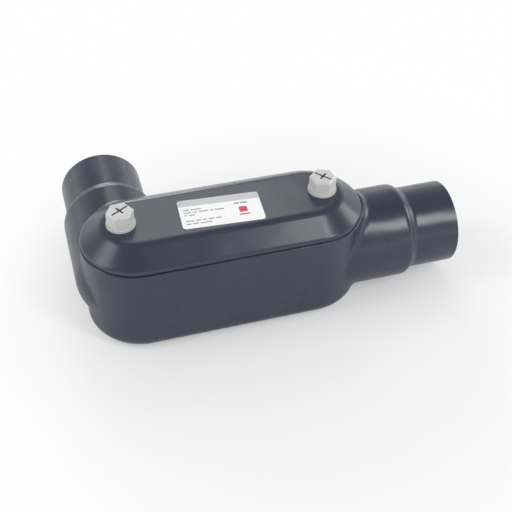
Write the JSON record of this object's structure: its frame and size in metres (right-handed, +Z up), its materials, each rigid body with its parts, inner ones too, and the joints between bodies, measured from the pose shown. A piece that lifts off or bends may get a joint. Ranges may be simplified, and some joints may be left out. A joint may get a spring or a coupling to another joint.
{
  "type": "conduit body",
  "caption": "Angle conduit body with threaded hubs at one end and one side, soft sleeves over the hubs and a domed cover held by capped screws.",
  "frame": {"origin": "on the resting face, straight below the crossing of the two hub axes", "axes": "+X along the run, out of the end hub; +Y out of the side hub; +Z up through the cover"},
  "size_m": [0.1767, 0.0931, 0.0629],
  "materials": {
    "body_casting": "cast, dull",
    "body_coating": "soft satin moulded plastic",
    "run_sleeve": "soft satin moulded plastic",
    "side_sleeve": "soft satin moulded plastic",
    "gasket": "matt",
    "cover_plate": "cast, dull",
    "cover_coating": "soft satin moulded plastic",
    "screw_left": "plain steel",
    "screw_right": "plain steel",
    "screw_cap_left": "moulded light grey plastic",
    "screw_cap_right": "moulded light grey plastic",
    "label": "coated white film"
  },
  "bodies": {
    "housing": {"body_casting": "body_casting", "body_coating": "body_coating", "run_sleeve": "run_sleeve", "side_sleeve": "side_sleeve"},
    "cover": {"gasket": "gasket", "cover_plate": "cover_plate", "cover_coating": "cover_coating", "label": "label"},
    "screw_left": {"screw_left": "screw_left", "screw_cap_left": "screw_cap_left"},
    "screw_right": {"screw_right": "screw_right", "screw_cap_right": "screw_cap_right"}
  },
  "joints": [
    {"name": "cover_lift", "type": "slide", "parent": "housing", "child": "cover", "axis": [0, 0, 1], "range_m": [0, 0.05]},
    {"name": "screw_left_turn", "type": "hinge", "parent": "cover", "child": "screw_left", "pos_m": [0.00055, 0, 0.0553], "axis": [0, 0, 1], "continuous": true},
    {"name": "screw_right_turn", "type": "hinge", "parent": "cover", "child": "screw_right", "pos_m": [0.09135, 0, 0.0553], "axis": [0, 0, 1], "continuous": true}
  ]
}
